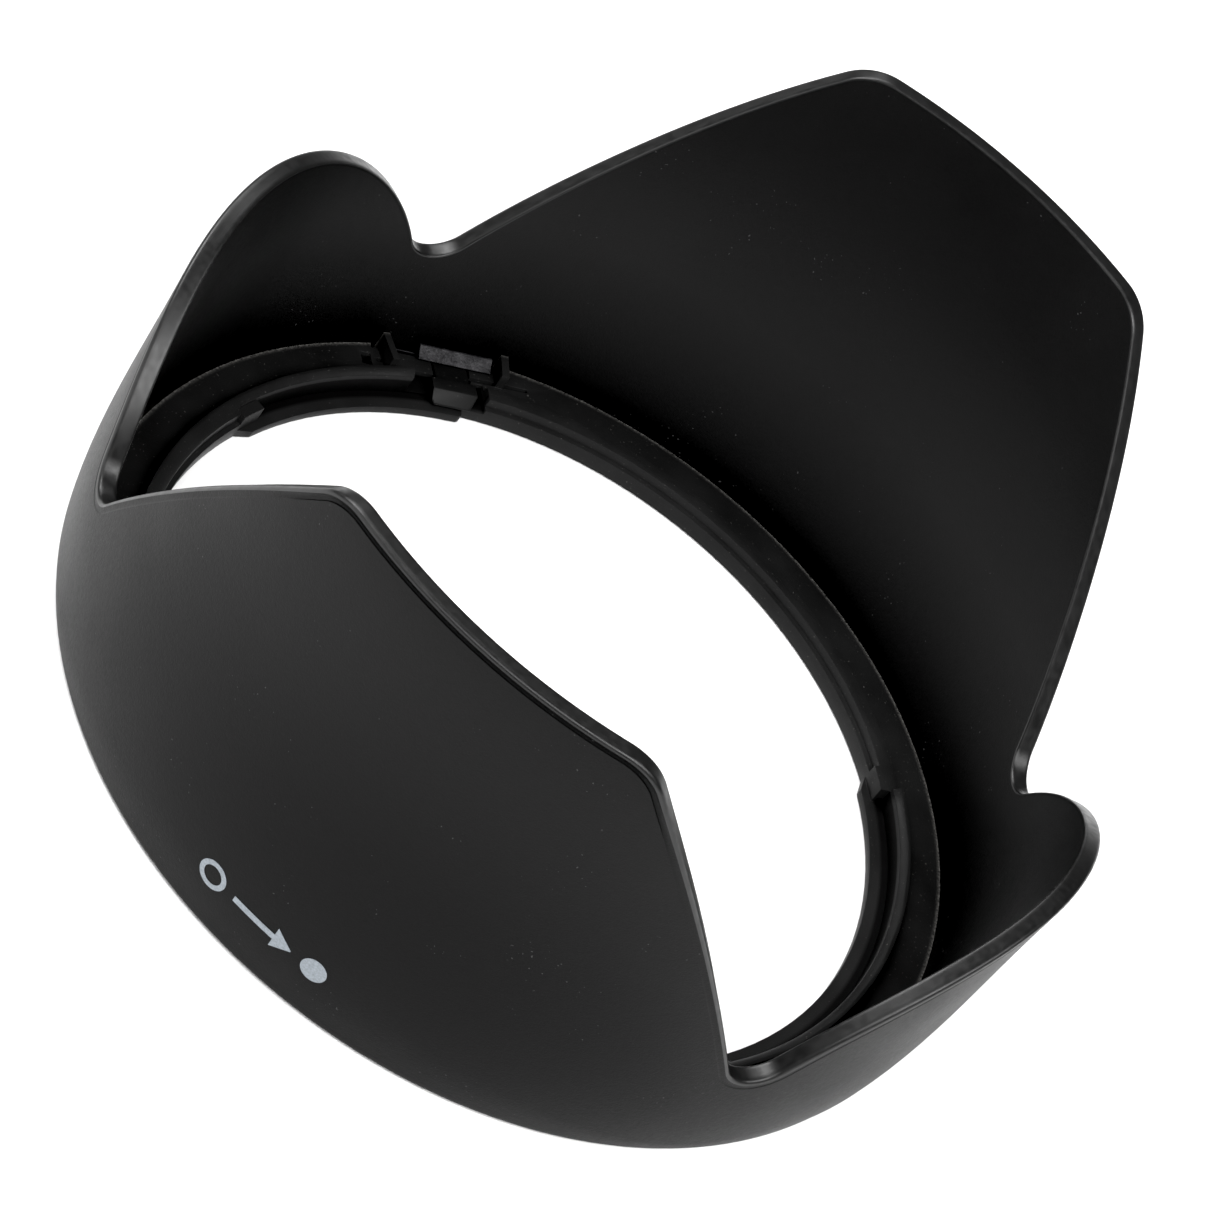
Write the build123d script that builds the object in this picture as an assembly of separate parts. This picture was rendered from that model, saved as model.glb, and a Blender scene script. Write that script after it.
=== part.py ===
from build123d import *
from math import pi, radians, tan
import os

# Petal lens hood: a bell with two long and two short petals, a three-lug bayonet ring in its rear end,
# and a click stop that a leaf spring pushes into the bayonet groove.
# Z is the optical axis and points forward. The origin is the centre of the rear face. The long petals
# are centred on +Y and -Y, the short ones on +X and -X. Angles run from +X towards +Y. Millimetres.

# Bell
BELL_PROFILE = [(47.3, 0), (48.95, 12), (49.5, 24), (50.4, 36), (51.95, 51.2)]  # outer radius, height
WALL = 1.85
LIP_R = 44.0  # inner radius of the lip that the ring sits on
LIP_Z = 0.8  # thickness of that lip
REAR_ROUND = 0.6

# Petal outline, unrolled on a cylinder of RIM_R
RIM_R = 50.0
LONG_TOP = 51.2
SHORT_TOP = 30.85
SHORT_R = 34.0  # a short petal is one arc
SLOPE_FOOT = (34.0, 8.0)  # degrees, height: where a long petal's side would start
SLOPE_HEAD = (70.3, LONG_TOP)
SLOPE_BULGE = 0.8
NOTCH_R = 3.7
CORNER_R = 6.0
OVERRUN = 1.0  # degrees that each quarter's cut runs into the next
OUTLINE_FLOOR = 5.0  # the outline's lower border, well below every notch
RIM_STEP = 1.5  # spacing of the points that carry the outline onto the bell
CUT_TOP = 60.0
CUT_NEAR = 28.0  # the cut runs outwards between these two distances from the axis
CUT_FAR = 62.0

# Bayonet ring
BORE_R = 39.45
STEP_R = 40.0
STEP_Z = 1.8
GROOVE_R = 40.6
BEVEL_Z = 2.9
BEVEL_R = 41.2
COLLAR_R = 41.6
COLLAR_TOP = 3.7
SHELF_Z = 2.1
SHELF_R = 45.8  # also the bell's inner radius behind the ring

# Lugs
LUG_TIP_R = 38.6
LUG_Z = 0.9
LUGS = ((133.0, 41.0), (253.0, 41.0), (335.0, 71.7))  # start and sweep, in degrees
LUG_RAMP = 2.4  # degrees by which the tip falls short of the foot at the lug's slanted end
LUG_END_R = 0.5
STOP_SWEEP = 4.3  # the block that closes the groove at each lug's end
STOP_TOP = 2.9
LOW_COLLAR = (42.4, 131.0)  # from the last lug's stop to the click stop the collar is cut down to the stops

# Click stop, with x radial and y along the circle at CLICK_ANGLE
CLICK_ANGLE = 134.6
FLOOR_Z = 1.2  # floor of every pocket cut in the ring
POCKET_X = 44.4
POCKET_Y = (-6.8, 8.7)
WINDOW_Y = (-3.4, 5.2)
WINDOW_X = 42.4
WINDOW_INNER = 38.0
RUN_GAP = 0.1  # clearance under the block
STEM_HALF = 1.9
GUIDE_HALF = 2.1
NUB_TIP_X = 39.1
NUB_Y = (-2.35, 2.6)
NUB_CAM = (1.1, 0.65)  # the corner that the barrel's notch runs up on
NUB_EDGE = 0.35  # the other corner
NUB_FRONT_TOP = 1.5
NUB_RAMP_X = 40.35
NUB_TOP = 2.5
NUB_BACK_X = 41.8
HEAD_HALF = 2.8
HEAD_X = 44.85
STEM_TOP = 2.1
RIB_LEFT = (9.8, 42.3, 0.38)  # degrees from the click stop, inner radius, half width
RIB_RIGHT = (-7.0, 42.8, 0.43)
RIB_OUTER_R = 45.7
RIB_TOP = 3.9
SLOT_X = (42.65, 43.1)
SLOT_RIGHT_Y = (-8.6, -GUIDE_HALF)
SLOT_LEFT_Y = (6.3, 8.4)
RECESS_X = (42.0, 43.5)
RECESS_Y = (9.0, 10.1)
RECESS_Z = 1.5
SPRING_X = (44.9, 45.15)
SPRING_Y = (-4.95, 7.1)
ARM_TOP = 2.0
TAB_Y = (-4.4, 3.75)
TAB_TOP = 3.34  # the tab is folded over the block from the top of the strip
TAB_FOLD_X = 44.97
TAB_EDGE = (43.8, 2.43)
TAB_UNDER = (43.95, 2.23)
TAB_UNDER_BACK = 2.97


def ring_sector(profile, start=0.0, sweep=360.0):
    """An outline of (radius, height) points turned about the optical axis from one angle on."""
    face = make_face(Plane.XZ * Polyline(*profile, close=True))
    return Rot(0, 0, start) * revolve(face, Axis.Z, sweep)


def click_box(x, y, z):
    """A box given by its limits in the click stop's own axes."""
    return Pos((x[0] + x[1]) / 2, (y[0] + y[1]) / 2, (z[0] + z[1]) / 2) * Box(
        x[1] - x[0], y[1] - y[0], z[1] - z[0]
    )


def at_click(shape):
    """Turn a shape from the click stop's own axes to its place on the ring."""
    return Rot(0, 0, CLICK_ANGLE) * shape


def unrolled(degrees_round):
    return radians(degrees_round) * RIM_R


def petal_outline():
    """One quarter of the petals, unrolled, from the middle of a short petal to that of a long one."""
    foot = (unrolled(SLOPE_FOOT[0]), SLOPE_FOOT[1])
    head = (unrolled(SLOPE_HEAD[0]), SLOPE_HEAD[1])
    start = unrolled(-OVERRUN)
    end = unrolled(90 + OVERRUN)
    side = SagittaArc(foot, head, SLOPE_BULGE)
    rest = Polyline(head, (end, LONG_TOP), (end, 0), (foot[0], 0), foot)
    short_petal = Pos(0, SHORT_TOP - SHORT_R) * Circle(SHORT_R)
    window = Pos((start + end) / 2, LONG_TOP / 2 + OUTLINE_FLOOR / 2)
    window = window * Rectangle(end - start, LONG_TOP - OUTLINE_FLOOR)
    petals = (make_face(side + rest) + short_petal) & window
    inner = [v for v in petals.vertices() if start < v.X - 1 < v.X + 1 < end and v.Y > OUTLINE_FLOOR + 1]
    notch, corner = sorted(inner, key=lambda v: v.X)
    petals = fillet(notch, NOTCH_R)
    return fillet(petals.vertices().sort_by_distance(corner)[0], CORNER_R)


def rim_curves():
    """The edges of the outline that are rim, in order, each as unrolled points."""
    outline = petal_outline()
    box = outline.bounding_box()
    curves = []
    for edge in outline.edges():
        middle = edge @ 0.5
        on_border = min(middle.X - box.min.X, box.max.X - middle.X, middle.Y - box.min.Y) < 0.01
        if not on_border:
            count = 2 if edge.geom_type == GeomType.LINE else 2 + int(edge.length / RIM_STEP)
            points = [edge @ (i / (count - 1)) for i in range(count)]
            curves.append(points if points[0].X < points[-1].X else points[::-1])
    return sorted(curves, key=lambda points: points[0].X)


def radial_section(distance, curves):
    """The space above the rim of one quarter, seen from the axis, on an upright plane across 45 degrees."""
    out = Vector(1, 1, 0).normalized()
    plane = Plane(origin=out * distance, x_dir=(-1, 1, 0), z_dir=out)
    flat = [[(distance * tan(p.X / RIM_R - pi / 4), p.Y) for p in points] for points in curves]
    edges = [Line(*points) if len(points) == 2 else Spline(*points) for points in flat]
    (first_x, first_y), (last_x, last_y) = flat[0][0], flat[-1][-1]
    edges.append(Polyline((last_x, last_y), (last_x, CUT_TOP), (first_x, CUT_TOP), (first_x, first_y)))
    return plane * make_face(Curve() + edges)


def make_petal_shell():
    inner = [(r - WALL, z) for r, z in BELL_PROFILE]
    outer_edge = Spline(*BELL_PROFILE)
    inner_edge = Spline(*inner)
    section = outer_edge + Line(BELL_PROFILE[-1], inner[-1]) + inner_edge + Line(inner[0], BELL_PROFILE[0])
    bell = revolve(make_face(Plane.XZ * section), Axis.Z)
    lip_root = inner[0][0] + WALL / 2
    bell += ring_sector([(LIP_R, 0), (lip_root, 0), (lip_root, LIP_Z), (LIP_R, LIP_Z)])
    bell -= ring_sector([(LIP_R, LIP_Z), (SHELF_R, LIP_Z), (SHELF_R, SHELF_Z), (LIP_R, SHELF_Z)])
    bell = fillet(bell.edges().group_by(Axis.Z)[0].sort_by(SortBy.LENGTH)[-1], REAR_ROUND)
    curves = rim_curves()
    cut = loft([radial_section(CUT_NEAR, curves), radial_section(CUT_FAR, curves)], ruled=True)
    for quarter in (cut, mirror(cut, Plane.YZ), mirror(cut, Plane.XZ), Rot(0, 0, 180) * cut):
        bell -= quarter
    return bell


def make_bayonet_ring():
    flange = [(BORE_R, 0), (LIP_R, 0), (LIP_R, LIP_Z), (SHELF_R, LIP_Z), (SHELF_R, SHELF_Z)]
    collar = [(COLLAR_R, SHELF_Z), (COLLAR_R, COLLAR_TOP), (BEVEL_R, COLLAR_TOP), (STEP_R, BEVEL_Z)]
    step = [(STEP_R, STEP_Z), (BORE_R, STEP_Z)]
    ring = ring_sector(flange + collar + step)
    inside = LUG_TIP_R - 1
    above = COLLAR_TOP + 1
    for start, sweep in LUGS:
        groove = [(inside, LUG_Z), (GROOVE_R, LUG_Z), (GROOVE_R, above), (inside, above)]
        ring -= ring_sector(groove, start, sweep)
        ring += make_lug(start, sweep)
        stop = [(BORE_R, LUG_Z), (BEVEL_R, LUG_Z), (BEVEL_R, STOP_TOP), (BORE_R, STOP_TOP)]
        ring += ring_sector(stop, start + sweep - STOP_SWEEP, STOP_SWEEP)
    low_start, low_end = LOW_COLLAR
    top = [(inside, STOP_TOP), (SHELF_R, STOP_TOP), (SHELF_R, above), (inside, above)]
    ring -= ring_sector(top, low_start, low_end - low_start)
    return add_click_stop_seat(ring)


def make_lug(start, sweep):
    """One bayonet lug with rounded tip corners and a slanted far end, its foot buried in the ring."""
    foot_r = (BORE_R + GROOVE_R) / 2
    lug = ring_sector([(LUG_TIP_R, 0), (foot_r, 0), (foot_r, LUG_Z), (LUG_TIP_R, LUG_Z)], start, sweep)
    tip = Vector(LUG_TIP_R, 0, 0).rotate(Axis.Z, -LUG_RAMP)
    beyond = [(BORE_R, 0), (BORE_R, 1), (LUG_TIP_R - 1, 1), (LUG_TIP_R - 1, tip.Y), (tip.X, tip.Y)]
    ramp = extrude(make_face(Polyline(*beyond, close=True)), LUG_Z)
    lug -= Rot(0, 0, start + sweep) * ramp
    tips = [e for e in lug.edges().filter_by(Axis.Z) if Vector(e.center().X, e.center().Y).length < BORE_R]
    return fillet(tips, LUG_END_R)


def add_click_stop_seat(ring):
    """Cut the click stop's pockets and slots in the ring and stand the two ribs that hold the spring."""
    above = COLLAR_TOP + 1
    cuts = click_box((POCKET_X, SHELF_R + 1), POCKET_Y, (FLOOR_Z, above))
    cuts += click_box((WINDOW_INNER, WINDOW_X), WINDOW_Y, (FLOOR_Z, above))
    cuts += click_box((WINDOW_X, POCKET_X), (-GUIDE_HALF, GUIDE_HALF), (FLOOR_Z, above))
    cuts += click_box(SLOT_X, SLOT_RIGHT_Y, (FLOOR_Z, above))
    cuts += click_box(SLOT_X, SLOT_LEFT_Y, (FLOOR_Z, above))
    cuts += click_box(RECESS_X, RECESS_Y, (RECESS_Z, above))
    ring -= at_click(cuts)
    for angle, inner, half in (RIB_LEFT, RIB_RIGHT):
        rib = click_box((inner, RIB_OUTER_R), (-half, half), (FLOOR_Z, RIB_TOP))
        ring += at_click(Rot(0, 0, angle) * rib)
    return ring


def make_click_block():
    """The nub that clicks into the lens, its stem in the guide slot and the head that the spring bears on."""
    low = FLOOR_Z + RUN_GAP
    right, left = NUB_Y
    nub_plan = [(NUB_TIP_X, right + NUB_CAM[1]), (NUB_TIP_X + NUB_CAM[0], right), (NUB_BACK_X, right)]
    nub_plan += [(NUB_BACK_X, left), (NUB_TIP_X + NUB_EDGE, left), (NUB_TIP_X, left - NUB_EDGE)]
    nub = Pos(0, 0, low) * extrude(make_face(Polyline(*nub_plan, close=True)), NUB_TOP - low)
    ramp = [(NUB_TIP_X - 1, NUB_FRONT_TOP), (NUB_TIP_X, NUB_FRONT_TOP), (NUB_RAMP_X, NUB_TOP)]
    ramp += [(NUB_RAMP_X, NUB_TOP + 1), (NUB_TIP_X - 1, NUB_TOP + 1)]
    nub -= extrude(make_face(Plane.XZ * Polyline(*ramp, close=True)), left + 1, both=True)
    stem = click_box((NUB_BACK_X, POCKET_X), (-STEM_HALF, STEM_HALF), (low, STEM_TOP))
    head = click_box((POCKET_X, HEAD_X), (-HEAD_HALF, HEAD_HALF), (low, STEM_TOP))
    return at_click(nub + stem + head)


def make_leaf_spring():
    """A strip on edge: a low arm each side, and in the middle a web with a tab folded over the block."""
    low = FLOOR_Z + RUN_GAP / 2
    inner, outer = SPRING_X
    arms = click_box(SPRING_X, SPRING_Y, (low, ARM_TOP))
    section = [(inner, low), (outer, low), (outer, TAB_TOP), (TAB_FOLD_X, TAB_TOP), TAB_EDGE, TAB_UNDER]
    section.append((inner, TAB_UNDER_BACK))
    length = TAB_Y[1] - TAB_Y[0]
    web = Pos(0, TAB_Y[1], 0) * extrude(make_face(Plane.XZ * Polyline(*section, close=True)), length)
    return at_click(arms + web)


def main():
    parts = {
        "petal_shell": make_petal_shell(),
        "bayonet_ring": make_bayonet_ring(),
        "click_block": make_click_block(),
        "leaf_spring": make_leaf_spring(),
    }
    os.makedirs("parts", exist_ok=True)
    for name, part in parts.items():
        export_step(part, f"parts/{name}.step")
        print(name, "volume", round(part.volume, 1), "solids", len(part.solids()))


main()
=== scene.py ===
import math

import bmesh
import bpy
from mathutils import Matrix, Vector


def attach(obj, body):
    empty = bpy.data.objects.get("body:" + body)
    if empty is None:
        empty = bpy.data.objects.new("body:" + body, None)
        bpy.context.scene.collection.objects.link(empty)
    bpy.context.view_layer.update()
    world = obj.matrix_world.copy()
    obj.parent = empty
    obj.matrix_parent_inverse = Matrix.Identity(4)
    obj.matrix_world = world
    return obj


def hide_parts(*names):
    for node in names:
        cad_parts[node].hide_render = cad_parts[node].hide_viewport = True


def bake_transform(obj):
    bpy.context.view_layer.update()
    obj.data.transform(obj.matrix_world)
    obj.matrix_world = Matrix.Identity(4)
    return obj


# Petal lens hood. Metres throughout: MM turns the hood's own dimensions, in millimetres, into metres.
# Z is the optical axis and points forward, the long petals are at +Y and -Y, the short ones at +X and -X.

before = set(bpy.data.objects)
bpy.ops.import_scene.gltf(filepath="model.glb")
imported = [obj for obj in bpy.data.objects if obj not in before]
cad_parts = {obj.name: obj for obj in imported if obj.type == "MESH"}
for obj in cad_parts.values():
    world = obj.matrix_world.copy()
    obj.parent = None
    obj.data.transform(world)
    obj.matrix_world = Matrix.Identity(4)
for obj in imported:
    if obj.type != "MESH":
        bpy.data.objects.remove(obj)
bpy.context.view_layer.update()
MM = 0.001

# Bell, as designed
BELL_PROFILE = [(47.3, 0), (48.95, 12), (49.5, 24), (50.4, 36), (51.95, 51.2)]  # outer radius, height
WALL = 1.85
LIP_R = 44.0
LIP_Z = 0.8
SEAT_R = 45.8
SHELF_Z = 2.1
# The floor and wall of the ring's grooves get painted shade: a darker colour and less specular reflection.
GROOVE_FLOOR_R = (39.6, 40.0)  # the ring's grooves run from here, on the lugs' tops,
GROOVE_WALL_R = 40.6  # to this wall
GROOVE_FLOOR_TOP = (1.7, 1.5)  # heights between which the painted shade of floor and wall fades out
GROOVE_WALL_TOP = (2.85, 2.7)
RIM_R = 50.0
LONG_TOP = 51.2
SHORT_TOP = 30.85
SHORT_R = 34.0
SLOPE_FOOT = (34.0, 8.0)
SLOPE_HEAD = (70.3, LONG_TOP)
SLOPE_BULGE = 0.8
NOTCH_R = 3.7
CORNER_R = 6.0
CLICK_ANGLE = math.radians(134.6)

# Bell mesh
RIM_STEP = 0.55  # spacing of the columns along the rim
RIM_BAND = 3.0  # the rows that follow the rim start this far below it
WALL_ROWS = 16
REAR_POINTS = 5  # points of a section on the rear face and its rounded edge
REAR_ROUND = 0.6
BELL_SHARP = 32  # degrees between two faces from which their edge is shaded sharp
MOULDING_SHARP = 38

# Ring, block, spring and print
EDGE_ROUND = 0.12
SPRING_EDGE_ROUND = 0.05
SPRING_Y = (-4.95, 7.1)
SPRING_STEP = 0.5
PRINT_ANGLE = math.radians(-91.5)
PRINT_Z = 6.65
PRINT_LIFT = 0.03


# ---------------------------------------------------------------- small helpers

def lerp(a, b, t):
    return a + (b - a) * t


def smooth_step(t):
    t = min(1.0, max(0.0, t))
    return t * t * (3 - 2 * t)


def outer_radius(z):
    """The bell's outer radius: the one smooth curve through its profile points."""
    total = 0.0
    for i, (r, zi) in enumerate(BELL_PROFILE):
        weight = 1.0
        for j, (_, zj) in enumerate(BELL_PROFILE):
            if j != i:
                weight *= (z - zj) / (zi - zj)
        total += r * weight
    return total


def polar(r, angle, z):
    return Vector((r * math.cos(angle) * MM, r * math.sin(angle) * MM, z * MM))


def new_piece(name, mesh, body, slot, *materials):
    obj = bpy.data.objects.new(name, mesh)
    bpy.context.scene.collection.objects.link(obj)
    for material in materials:
        mesh.materials.append(material)
    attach(obj, body)
    return obj


# ---------------------------------------------------------------- materials

class Nodes:
    """A material's node tree, with one call per node."""

    def __init__(self, name):
        self.material = bpy.data.materials.new(name)
        self.material.use_nodes = True
        self.tree = self.material.node_tree
        self.tree.nodes.clear()
        self.coords = self.add("ShaderNodeTexCoord").outputs["Object"]

    def add(self, kind, inputs=None, **settings):
        made = self.tree.nodes.new(kind)
        for key, value in settings.items():
            setattr(made, key, value)
        for key, value in (inputs or {}).items():
            if isinstance(value, bpy.types.NodeSocket):
                self.tree.links.new(value, made.inputs[key])
            else:
                made.inputs[key].default_value = value
        return made

    def noise(self, size_mm, detail=2.0, roughness=0.5, stretch=None):
        where = self.coords
        if stretch:
            where = self.add("ShaderNodeMapping", {"Vector": where, "Scale": stretch}).outputs[0]
        inputs = {"Vector": where, "Scale": 1 / (size_mm * MM), "Detail": detail, "Roughness": roughness}
        return self.add("ShaderNodeTexNoise", inputs).outputs["Fac"]

    def ramp(self, value, low, high, out_low=0.0, out_high=1.0):
        inputs = {"Value": value, "From Min": low, "From Max": high, "To Min": out_low, "To Max": out_high}
        return self.add("ShaderNodeMapRange", inputs, clamp=True).outputs[0]

    def math(self, operation, a, b):
        return self.add("ShaderNodeMath", {0: a, 1: b}, operation=operation).outputs[0]

    def mix(self, factor, a, b):
        made = self.add("ShaderNodeMix", data_type="RGBA")
        for socket, value in ((made.inputs[0], factor), (made.inputs[6], a), (made.inputs[7], b)):
            if isinstance(value, bpy.types.NodeSocket):
                self.tree.links.new(value, socket)
            else:
                socket.default_value = value
        return made.outputs[2]

    def bump(self, height, depth_mm):
        inputs = {"Height": height, "Distance": depth_mm * MM, "Strength": 1.0}
        return self.add("ShaderNodeBump", inputs).outputs[0]

    def finish(self, color, roughness, normal, specular, metallic=0.0):
        inputs = {"Base Color": color, "Roughness": roughness, "Normal": normal, "Metallic": metallic}
        inputs["Specular IOR Level"] = specular
        shader = self.add("ShaderNodeBsdfPrincipled", inputs)
        output = self.add("ShaderNodeOutputMaterial")
        self.tree.links.new(shader.outputs[0], output.inputs[0])
        return self.material


def grey(value, tint=(1.0, 1.0, 1.0)):
    return (value * tint[0], value * tint[1], value * tint[2], 1.0)


def grained_plastic(name, shade, roughness, specular, painted_base_shade, grain_mm, grain_depth):
    """Moulded plastic: spark-eroded grain, slow changes of tone and gloss, and a few specks of dust.
    Specular is a pair: seen square on, and seen edge on. The painted base shade gives the share of it that is
    left below one height, and the height from which all of it is there: painted shade, less reflection lower
    down the bell."""
    n = Nodes(name)
    cloud = n.noise(14.0, 3.0)
    grain = n.noise(grain_mm, 3.0, 0.6)
    pores = n.noise(grain_mm * 2.6, 2.0, 0.55)
    tone = n.mix(n.ramp(cloud, 0.3, 0.7), grey(shade * 0.85), grey(shade * 1.15))
    tone = n.mix(n.ramp(grain, 0.35, 0.7, 0.0, 0.55), tone, grey(shade * 1.9))
    where = n.ramp(n.noise(7.0, 2.0), 0.57, 0.62)
    specks = n.math("MULTIPLY", n.ramp(n.noise(0.24, 0.0), 0.81, 0.84), where)
    color = n.mix(specks, tone, grey(0.05))
    uneven = n.math("ADD", cloud, n.math("MULTIPLY", pores, 0.6))
    gloss = n.ramp(uneven, 0.5, 1.1, roughness - 0.05, roughness + 0.07)
    height = n.math("ADD", grain, n.math("MULTIPLY", pores, 0.7))
    facing = n.add("ShaderNodeLayerWeight").outputs["Facing"]
    height_up = n.add("ShaderNodeSeparateXYZ", {"Vector": n.coords}).outputs[2]
    # painted shade: the specular reflection is cut lower down the bell
    share, low, high = painted_base_shade
    left = n.ramp(height_up, low * MM, high * MM, share, 1.0)
    reflection = n.math("MULTIPLY", n.ramp(facing, 0.25, 0.65, *specular), left)
    return n.finish(color, gloss, n.bump(height, grain_depth), reflection)


def rim_plastic(name, shade, roughness, specular):
    """The trimmed rim: the same plastic, smoother, with fine marks along and across it."""
    n = Nodes(name)
    cloud = n.noise(5.0, 3.0)
    scuffs = n.noise(0.6, 0.0, 0.5, stretch=(1.0, 1.0, 0.25))
    tone = n.mix(n.ramp(cloud, 0.3, 0.7), grey(shade * 0.8), grey(shade * 1.3))
    worn = n.ramp(n.noise(1.3, 4.0, 0.65), 0.6, 0.75, 0.0, 0.35)
    color = n.mix(worn, tone, grey(shade * 3.5))
    gloss = n.ramp(scuffs, 0.2, 0.8, roughness - 0.03, roughness + 0.09)
    height = n.math("ADD", scuffs, n.math("MULTIPLY", n.noise(2.2, 1.0), 1.5))
    return n.finish(color, gloss, n.bump(height, 0.005), specular)


def painted_groove_shade(n, radius, height):
    """1 on the floor and the wall of the ring's grooves, which get painted shade (a darker colour and less
    specular reflection), and 0 elsewhere.
    """
    def fade(value, start, end):
        return n.ramp(value, start * MM, end * MM)

    floor = n.math("MULTIPLY", fade(radius, *GROOVE_FLOOR_R), fade(height, *GROOVE_FLOOR_TOP))
    outward = fade(radius, GROOVE_WALL_R - 0.15, GROOVE_WALL_R - 0.05)
    inward = fade(radius, GROOVE_WALL_R + 0.15, GROOVE_WALL_R + 0.05)
    wall = n.math("MULTIPLY", n.math("MULTIPLY", outward, inward), fade(height, *GROOVE_WALL_TOP))
    return n.math("MAXIMUM", floor, wall)


def satin_plastic(name, shade, roughness, specular, dust, dust_and_shade_radius=None):
    """The smoother moulding of the ring and the block, with fine dust. Given the radius of the ring's seat,
    more dust lies along that edge, and the grooves get painted shade: a darker colour and less specular
    reflection."""
    n = Nodes(name)
    cloud = n.noise(6.0, 3.0)
    fine = n.noise(0.16, 3.0, 0.6)
    tone = n.mix(n.ramp(cloud, 0.3, 0.7), grey(shade * 0.8), grey(shade * 1.25))
    specks = n.ramp(n.noise(0.22, 1.0), dust, dust + 0.06, 0.0, 0.45)
    if dust_and_shade_radius:
        split = n.add("ShaderNodeSeparateXYZ", {"Vector": n.coords})
        square = n.math("ADD", n.math("MULTIPLY", split.outputs[0], split.outputs[0]),
                        n.math("MULTIPLY", split.outputs[1], split.outputs[1]))
        radius = n.math("SQRT", square, 0.0)
        edge = n.ramp(radius, (dust_and_shade_radius - 0.55) * MM, (dust_and_shade_radius - 0.05) * MM)
        patchy = n.ramp(n.noise(0.3, 3.0, 0.75), 0.36, 0.68, 0.0, 1.0)
        specks = n.math("MAXIMUM", specks, n.math("MULTIPLY", n.math("POWER", edge, 2.0), patchy))
        # painted shade in the grooves: less specular reflection there
        painted_shade = painted_groove_shade(n, radius, split.outputs[2])
        specular = n.ramp(painted_shade, 0.0, 1.0, specular, specular * 0.3)
    color = n.mix(specks, tone, grey(0.15, (1.0, 0.97, 0.92)))
    # painted shade: the grooves' colour darkened
    if dust_and_shade_radius:
        color = n.mix(painted_shade, color, grey(shade * 0.4))
    gloss = n.ramp(cloud, 0.3, 0.7, roughness - 0.06, roughness + 0.08)
    height = n.math("ADD", fine, n.math("MULTIPLY", n.noise(1.1, 2.0), 0.8))
    return n.finish(color, gloss, n.bump(height, 0.012), specular)


def spring_steel(name):
    n = Nodes(name)
    brushed = n.noise(0.14, 4.0, 0.65, stretch=(0.35, 0.35, 1.0))
    stain = n.math("MULTIPLY", n.math("ADD", n.noise(1.3, 3.0), n.noise(0.18, 3.0, 0.7)), 0.5)
    dark, pale = grey(0.004, (1.0, 0.97, 1.10)), grey(0.024, (1.0, 0.98, 1.04))
    color = n.mix(n.ramp(stain, 0.4, 0.6), dark, pale)
    gloss = n.ramp(brushed, 0.3, 0.7, 0.38, 0.6)
    return n.finish(color, gloss, n.bump(brushed, 0.008), 0.3, 0.75)


def print_ink(name):
    n = Nodes(name)
    cover = n.ramp(n.noise(0.25, 3.0, 0.7), 0.3, 0.65)
    color = n.mix(cover, grey(0.18, (0.87, 0.98, 1.08)), grey(0.28, (0.88, 0.98, 1.08)))
    return n.finish(color, 0.55, n.bump(n.noise(0.1, 2.0), 0.01), 0.3)


# ---------------------------------------------------------------- bell

class Arc:
    """A stretch of the unrolled outline. Side is +1 where the material is on the arc's inner side."""

    def __init__(self, centre, radius, start, end, side):
        self.centre, self.radius, self.start, self.end, self.side = centre, radius, start, end, side

    def samples(self, step):
        count = max(4, int(abs(self.end - self.start) * self.radius / step))
        for i in range(count):
            a = lerp(self.start, self.end, i / count)
            out = Vector((math.cos(a), math.sin(a)))
            yield self.centre + out * self.radius, -out * self.side


def circles_meet(c0, r0, c1, r1, upper):
    """The point at distances r0 and r1 from two centres."""
    span = c1 - c0
    d = span.length
    along = (r0 * r0 - r1 * r1 + d * d) / (2 * d)
    across = math.sqrt(r0 * r0 - along * along)
    unit = span / d
    side = Vector((-unit.y, unit.x))
    points = [c0 + unit * along + side * across, c0 + unit * along - side * across]
    return max(points, key=lambda p: p.y) if upper else min(points, key=lambda p: p.y)


def angle_of(v):
    return math.atan2(v.y, v.x)


def quarter_rim():
    """The unrolled rim from the middle of a short petal to that of a long one: points and inward normals."""
    foot = Vector((math.radians(SLOPE_FOOT[0]) * RIM_R, SLOPE_FOOT[1]))
    head = Vector((math.radians(SLOPE_HEAD[0]) * RIM_R, SLOPE_HEAD[1]))
    chord = head - foot
    slope_r = (chord.length ** 2 / 4 + SLOPE_BULGE ** 2) / (2 * SLOPE_BULGE)
    bulge = Vector((-chord.y, chord.x)).normalized()
    slope_c = (foot + head) / 2 - bulge * (slope_r - SLOPE_BULGE)
    short_c = Vector((0, SHORT_TOP - SHORT_R))
    notch_c = circles_meet(short_c, SHORT_R + NOTCH_R, slope_c, slope_r + NOTCH_R, upper=True)
    corner_z = LONG_TOP - CORNER_R
    reach = slope_r - CORNER_R
    corner_c = Vector((slope_c.x - math.sqrt(reach ** 2 - (corner_z - slope_c.y) ** 2), corner_z))
    to_short, to_slope = short_c - notch_c, slope_c - notch_c
    out_corner = corner_c - slope_c
    arcs = [
        Arc(short_c, SHORT_R, math.pi / 2, angle_of(-to_short), 1),
        Arc(notch_c, NOTCH_R, angle_of(to_short), angle_of(to_slope), -1),
        Arc(slope_c, slope_r, angle_of(-to_slope), angle_of(out_corner), 1),
        Arc(corner_c, CORNER_R, angle_of(out_corner), math.pi / 2, 1),
    ]
    rim = []
    for arc in arcs:
        if arc.radius == NOTCH_R and arc.end < arc.start:
            arc.end += 2 * math.pi
        step = RIM_STEP * (0.45 if arc.radius < 10 else 1.0)
        rim += list(arc.samples(step))
    end = math.radians(90) * RIM_R
    flat = max(4, int((end - corner_c.x) / RIM_STEP))
    rim += [(Vector((lerp(corner_c.x, end, i / flat), LONG_TOP)), Vector((0, -1))) for i in range(flat)]
    return rim + [(Vector((end, LONG_TOP)), Vector((0, -1)))]


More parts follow.
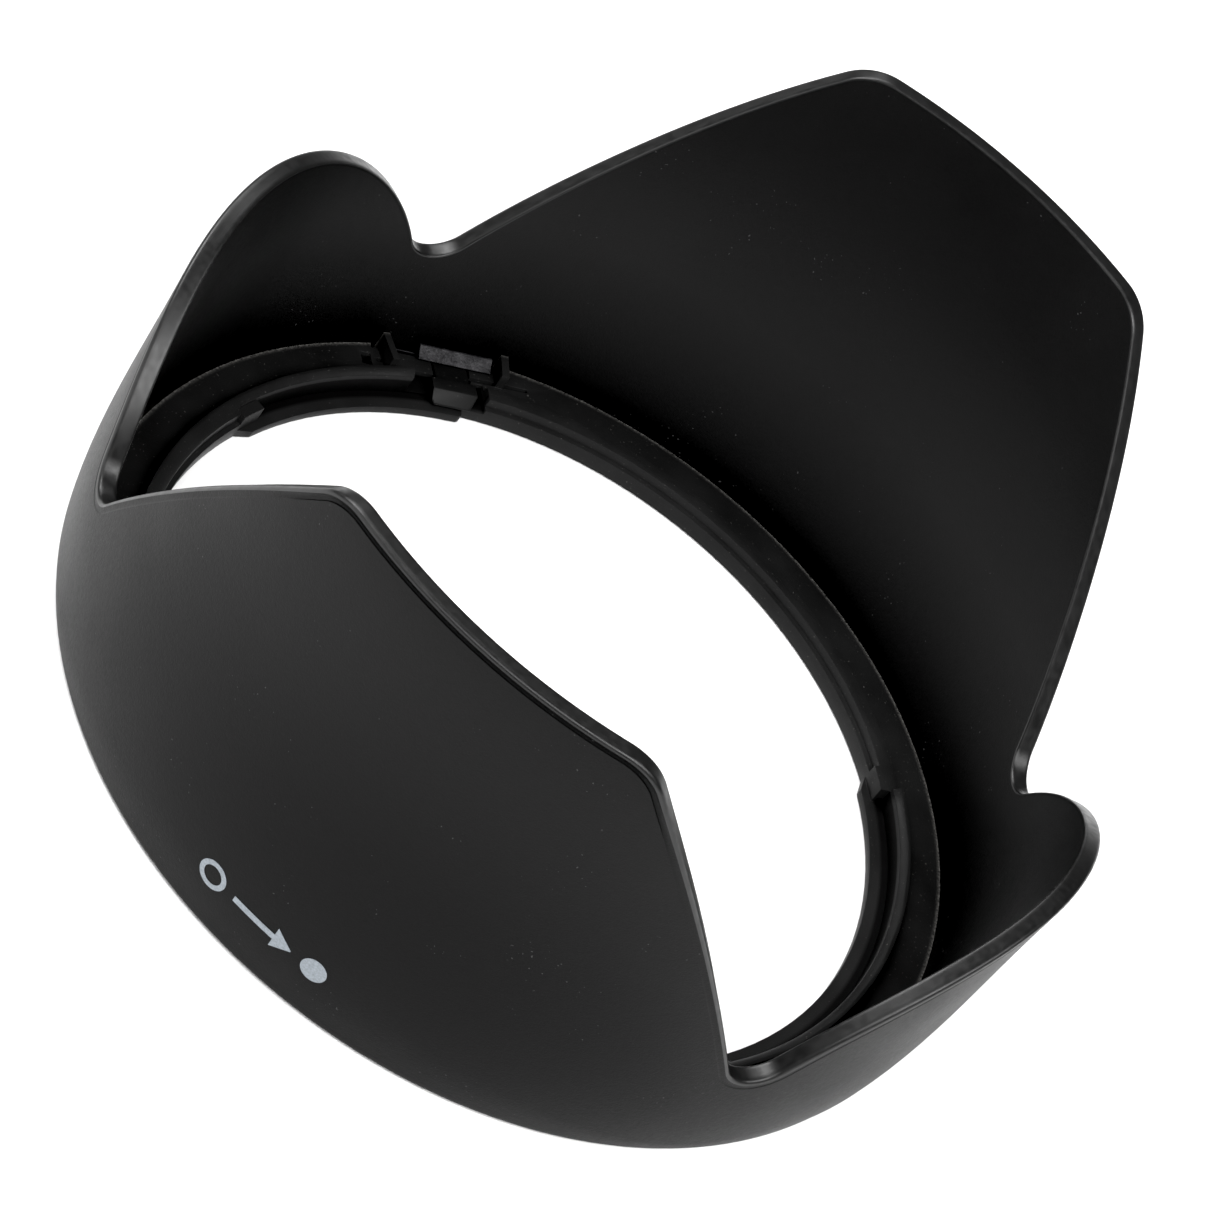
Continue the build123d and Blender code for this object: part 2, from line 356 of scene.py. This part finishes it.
def full_rim():
    """The whole rim as (angle, height, inward normal along the circle, inward normal up) by mirroring."""
    quarter = quarter_rim()
    rim = []
    for turn in range(4):
        part = quarter[:-1] if turn % 2 == 0 else quarter[:0:-1]
        for point, normal in part:
            angle = point.x / RIM_R
            if turn % 2 == 0:
                rim.append((turn * math.pi / 2 + angle, point.y, normal.x, normal.y))
            else:
                rim.append(((turn + 1) * math.pi / 2 - angle, point.y, -normal.x, normal.y))
    return rim


RIM_GROOVE_DEPTH = 0.22
# distance below the rim, depth below the outer surface, share of the rim groove's depth
RIM_SECTION = [
    (3.0, 0.0, 0.0), (2.0, 0.0, 0.0), (1.4, 0.0, 0.0), (1.12, 0.0, 0.0), (1.06, 0.0, 0.0), (1.0, 0.0, 0.75),
    (0.88, 0.0, 1.0), (0.74, 0.0, 0.92), (0.6, 0.0, 0.62), (0.5, 0.0, 0.3), (0.45, 0.0, 0.08),
    (0.42, 0.0, 0.0),
    (0.26, 0.032, 0.0), (0.123, 0.123, 0.0), (0.032, 0.26, 0.0), (0.0, 0.42, 0.0),
    (0.0, 0.7, 0.0), (0.0, 1.05, 0.0), (0.0, 1.4, 0.0), (0.0, WALL - 0.22, 0.0), (0.03, WALL - 0.11, 0.0),
    (0.10, WALL - 0.03, 0.0), (0.22, WALL, 0.0), (0.5, WALL, 0.0), (1.2, WALL, 0.0), (3.0, WALL, 0.0),
]
RIM_FACE_FROM, RIM_FACE_TO = 0.42, 0.22  # the smooth, trimmed stretch of the section


def groove_share(height):
    """The groove is full along the long petals' tops, and faint down the slopes and on the short petals."""
    return lerp(0.15, 1.0, smooth_step((height - 43.0) / 6.0))


def column(angle, height, across, up):
    """One closed section of the bell, from the rear face up the outside, over the rim and down inside."""
    share = groove_share(height)
    band_z = height + up * RIM_BAND
    band_angle = angle + across * RIM_BAND / RIM_R
    points = []
    for r, z in ((LIP_R, 0.0), (BELL_PROFILE[0][0] - REAR_ROUND, 0.0)):
        points.append((r, band_angle, z))
    for i in (1, 2, 3):
        turn = math.radians(30 * i)
        r = BELL_PROFILE[0][0] - REAR_ROUND * (1 - math.sin(turn))
        points.append((r, band_angle, REAR_ROUND * (1 - math.cos(turn))))
    for i in range(1, WALL_ROWS):
        z = lerp(REAR_ROUND, band_z, i / WALL_ROWS)
        points.append((outer_radius(z), band_angle, z))
    for below, depth, groove in RIM_SECTION:
        z = height + up * below
        r = outer_radius(z) - depth - groove * share * RIM_GROOVE_DEPTH
        points.append((r, angle + across * below / RIM_R, z))
    for i in range(1, WALL_ROWS):
        z = lerp(band_z, SHELF_Z, i / WALL_ROWS)
        points.append((outer_radius(z) - WALL, band_angle, z))
    points += [(SEAT_R, band_angle, SHELF_Z), (SEAT_R, band_angle, LIP_Z), (LIP_R, band_angle, LIP_Z)]
    return [polar(*point) for point in points]


def make_bell(outside, inside, rim_face):
    rows = [column(*place) for place in full_rim()]
    count = len(rows[0])
    vertices = [v for row in rows for v in row]
    faces = []
    material_of = []
    first_rim = REAR_POINTS + WALL_ROWS - 1
    smooth_from = first_rim + next(i for i, s in enumerate(RIM_SECTION) if s[0] == RIM_FACE_FROM)
    smooth_to = first_rim + max(i for i, s in enumerate(RIM_SECTION) if s[0] == RIM_FACE_TO)
    for i in range(len(rows)):
        here, there = i * count, ((i + 1) % len(rows)) * count
        for j in range(count):
            k = (j + 1) % count
            faces.append((here + j, there + j, there + k, here + k))
            in_rim = smooth_from <= j < smooth_to
            material_of.append(2 if in_rim else (0 if j < smooth_from else 1))
    mesh = bpy.data.meshes.new("bell")
    mesh.from_pydata(vertices, [], faces)
    bell = new_piece("bell", mesh, "hood", "bell_plastic", outside, inside, rim_face)
    mesh.polygons.foreach_set("material_index", material_of)
    mesh.shade_smooth()
    mark_sharp(mesh, BELL_SHARP)
    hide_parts("petal_shell")
    return bell


def mark_sharp(mesh, degrees):
    """Split the shading where two faces meet at more than this angle."""
    work = bmesh.new()
    work.from_mesh(mesh)
    for edge in work.edges:
        if len(edge.link_faces) == 2:
            edge.smooth = edge.calc_face_angle(0.0) < math.radians(degrees)
    work.to_mesh(mesh)
    work.free()


# ---------------------------------------------------------------- ring, block and spring

def softened_mesh(node, width_mm, segments):
    """A node's own solid with its moulded edges rounded."""
    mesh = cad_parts[node].data.copy()
    mesh.materials.clear()
    work = bmesh.new()
    work.from_mesh(mesh)
    bmesh.ops.remove_doubles(work, verts=work.verts, dist=1e-6)
    bmesh.ops.dissolve_limit(work, angle_limit=math.radians(1.0), verts=work.verts, edges=work.edges)
    work.to_mesh(mesh)
    work.free()
    sharp = bpy.data.objects.new("sharp", mesh)
    bpy.context.scene.collection.objects.link(sharp)
    bevel = sharp.modifiers.new("rounding", "BEVEL")
    bevel.width = width_mm * MM
    bevel.segments = segments
    bevel.limit_method = "ANGLE"
    bevel.angle_limit = math.radians(35)
    rounded = bpy.data.meshes.new_from_object(sharp.evaluated_get(bpy.context.evaluated_depsgraph_get()))
    bpy.data.objects.remove(sharp)
    return rounded


def softened_copy(node, name, body, slot, material, width_mm, segments=2):
    mesh = softened_mesh(node, width_mm, segments)
    piece = new_piece(name, mesh, body, slot, material)
    mesh.shade_smooth()
    mark_sharp(mesh, MOULDING_SHARP)
    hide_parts(node)
    return piece


def at_click(x, y, z):
    """A point given in the click stop's own axes: x radial, y along the circle."""
    return Matrix.Rotation(CLICK_ANGLE, 3, "Z") @ Vector((x, y, z)) * MM


def cut_square(work, y, side=0):
    """Cut across the spring at y. A side of +1 or -1 keeps only what lies on that side, with a closed end."""
    along = at_click(0, 1, 0).normalized()
    geometry = work.verts[:] + work.edges[:] + work.faces[:]
    cut = bmesh.ops.bisect_plane(work, geom=geometry, plane_co=at_click(0, y, 0), plane_no=along,
                                 clear_inner=side > 0, clear_outer=side < 0)
    if side:
        edges = [e for e in cut["geom_cut"] if isinstance(e, bmesh.types.BMEdge)]
        bmesh.ops.edgenet_fill(work, edges=edges)


def make_spring(material):
    """The strip in two halves that meet behind the block, each cut across in steps from the block to its own
    end.
    """
    whole = softened_mesh("leaf_spring", SPRING_EDGE_ROUND, 1)
    for name, side, end in (("spring_left", 1, SPRING_Y[1]), ("spring_right", -1, SPRING_Y[0])):
        work = bmesh.new()
        work.from_mesh(whole)
        cut_square(work, 0.0, side)
        steps = 2 + int(abs(end) / SPRING_STEP)
        for i in range(1, steps):
            cut_square(work, end * i / steps)
        bmesh.ops.recalc_face_normals(work, faces=work.faces)
        mesh = bpy.data.meshes.new(name)
        work.to_mesh(mesh)
        work.free()
        mesh.materials.append(material)
        mark_sharp(mesh, MOULDING_SHARP)
        half = bpy.data.objects.new(name, mesh)
        bpy.context.scene.collection.objects.link(half)
        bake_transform(half)
        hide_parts("leaf_spring")


# ---------------------------------------------------------------- printed legend

def wrap_print(name, points, faces, material):
    """A print on the bell: flat shapes (along the circle, up) laid on its outside, with closed thin edges."""
    radius = outer_radius(PRINT_Z)
    vertices = []
    for lift in (PRINT_LIFT, -PRINT_LIFT):
        for along, up in points:
            z = PRINT_Z + up
            vertices.append(polar(outer_radius(z) + lift, PRINT_ANGLE + along / radius, z))
    count = len(points)
    solid = [tuple(face) for face in faces]
    solid += [tuple(i + count for i in reversed(face)) for face in faces]
    sides = {(a, b) for face in faces for a, b in zip(face, face[1:] + face[:1])}
    solid += [(b, a, a + count, b + count) for a, b in sides if (b, a) not in sides]
    mesh = bpy.data.meshes.new(name)
    mesh.from_pydata(vertices, [], solid)
    return new_piece(name, mesh, "hood", "bell_plastic", material)


def print_ring(centre, inner, outer, count=40):
    """A flat ring, or a dot where the inner radius is zero."""
    points = []
    for r in (outer, inner) if inner else (outer,):
        for i in range(count):
            a = 2 * math.pi * i / count
            points.append((centre + r * math.cos(a), r * math.sin(a)))
    if not inner:
        points.append((centre, 0.0))
        return points, [[i, (i + 1) % count, count] for i in range(count)]
    return points, [[i, (i + 1) % count, (i + 1) % count + count, i + count] for i in range(count)]


def print_arrow(start, neck, tip, half_shaft, half_head, step=0.5):
    """A flat arrow in columns, because the bell's outside curves along it."""
    columns = []
    count = round((neck - start) / step)
    columns += [(lerp(start, neck, i / count), half_shaft, half_head, i == count) for i in range(count + 1)]
    count = round((tip - neck) / step)
    for i in range(1, count + 1):
        narrowing = lerp(1.0, 0.04, i / count)
        columns.append((lerp(neck, tip, i / count), half_shaft * narrowing, half_head * narrowing, True))
    points, faces, before = [], [], None
    for along, shaft, head, in_head in columns:
        rows = (-head, -shaft, shaft, head) if in_head else (-shaft, shaft)
        here = list(range(len(points), len(points) + len(rows)))
        points += [(along, up) for up in rows]
        if before:
            right = here if len(before) == len(here) else here[1:3]
            for i in range(len(before) - 1):
                faces.append([before[i], right[i], right[i + 1], before[i + 1]])
        before = here
    return points, faces


def make_legend(material):
    """The lock legend: an open ring, an arrow and a dot."""
    wrap_print("legend_ring", *print_ring(-6.1, 1.05, 1.6), material)
    wrap_print("legend_arrow", *print_arrow(-3.3, 1.6, 3.6, 0.34, 1.35), material)
    wrap_print("legend_dot", *print_ring(6.2, 0.0, 1.35), material)


# ---------------------------------------------------------------- stage

# Lights: name, azimuth from -Y towards +X, elevation, watts
STUDIO = [
    ("low_left", -45, 18, 4.0),
    ("left", -90, 50, 13.0),
    ("left_back", -135, 50, 5.5),
    ("front", 0, 50, 6.0),
    ("right_front", 45, 50, 11.0),
    ("right", 90, 50, 7.0),
]
LIGHT_DISTANCE = 1.2
LIGHT_SIZE = 0.6
WORLD_STRENGTH = 0.08
BLACK_LEVEL = 0.004  # the darkest tone that the camera keeps
FLOOR_SIZE = 6.0
FLOOR_GAP = 0.0002  # the floor lies this far under the hood


def area_light(name, azimuth, elevation, power):
    """A soft square light that points at the hood."""
    data = bpy.data.lights.new(name, "AREA")
    data.shape = "SQUARE"
    data.size = LIGHT_SIZE
    data.energy = power
    away = Vector((math.sin(azimuth) * math.cos(elevation), -math.cos(azimuth) * math.cos(elevation),
                   math.sin(elevation)))
    light = bpy.data.objects.new(name, data)
    light.location = away * LIGHT_DISTANCE
    light.rotation_euler = away.to_track_quat("Z", "Y").to_euler()
    bpy.context.scene.collection.objects.link(light)


def make_floor():
    n = Nodes("floor_paper")
    mottle = n.noise(40.0, 3.0)
    color = n.mix(n.ramp(mottle, 0.3, 0.7), grey(0.93), grey(0.95))
    material = n.finish(color, 0.9, n.bump(n.noise(1.0, 2.0), 0.02), 0.1)
    mesh = bpy.data.meshes.new("floor")
    half = FLOOR_SIZE / 2
    corners = [(-half, -half, 0), (half, -half, 0), (half, half, 0), (-half, half, 0)]
    mesh.from_pydata(corners, [], [(0, 1, 2, 3)])
    mesh.materials.append(material)
    floor = bpy.data.objects.new("floor", mesh)
    floor.location.z = -FLOOR_GAP
    bpy.context.scene.collection.objects.link(floor)


def make_camera():
    """A long lens from 6.8 degrees right of -Y and 40.2 degrees up, rolled 37.7 degrees."""
    azimuth, elevation, roll = math.radians(6.812), math.radians(40.165), math.radians(37.741)
    distance = 0.52693
    target = Vector((0, 0, 0.020))
    back = Vector((math.sin(azimuth) * math.cos(elevation), -math.cos(azimuth) * math.cos(elevation),
                   math.sin(elevation)))
    level = (-back).cross(Vector((0, 0, 1))).normalized()
    upright = level.cross(-back)
    right = level * math.cos(roll) + upright * math.sin(roll)
    up = upright * math.cos(roll) - level * math.sin(roll)
    data = bpy.data.cameras.new("camera")
    data.lens = 168.6
    data.sensor_width = 36.0
    data.shift_x = -0.0028
    data.shift_y = -0.0038
    camera = bpy.data.objects.new("camera", data)
    turn = Matrix((right, up, back)).transposed().to_4x4()
    camera.matrix_world = Matrix.Translation(target + back * distance) @ turn
    bpy.context.scene.collection.objects.link(camera)
    bpy.context.scene.camera = camera


def make_studio():
    scene = bpy.context.scene
    scene.view_settings.view_transform = "Standard"
    scene.view_settings.use_curve_mapping = True
    scene.view_settings.curve_mapping.black_level = (BLACK_LEVEL,) * 3
    world = bpy.data.worlds.new("studio")
    scene.world = world
    world.use_nodes = True
    background = world.node_tree.nodes["Background"]
    background.inputs["Color"].default_value = (1.0, 1.0, 1.0, 1.0)
    background.inputs["Strength"].default_value = WORLD_STRENGTH
    make_floor()
    for name, azimuth, elevation, power in STUDIO:
        area_light(name, math.radians(azimuth), math.radians(elevation), power)


# ---------------------------------------------------------------- build

make_camera()
make_studio()
make_bell(
    # the (share, from, to) tuples are painted shade: less reflection lower down the bell
    grained_plastic("bell_outside", 0.0025, 0.40, (0.074, 0.105), (0.82, 22, 46), 0.18, 0.016),
    grained_plastic("bell_inside", 0.0025, 0.35, (0.105, 0.05), (0.40, 4, 20), 0.18, 0.014),
    rim_plastic("bell_rim", 0.004, 0.33, 0.37),
)
# the ring's material, with painted shade in its grooves
ring_finish = satin_plastic("ring_satin", 0.009, 0.38, 0.09, 0.735, SEAT_R)
block_finish = satin_plastic("block_satin", 0.005, 0.42, 0.12, 0.74)
softened_copy("bayonet_ring", "ring", "hood", "ring_plastic", ring_finish, EDGE_ROUND)
softened_copy("click_block", "block", "click", "block_plastic", block_finish, EDGE_ROUND)
make_spring(spring_steel("spring_strip"))
make_legend(print_ink("legend_ink"))
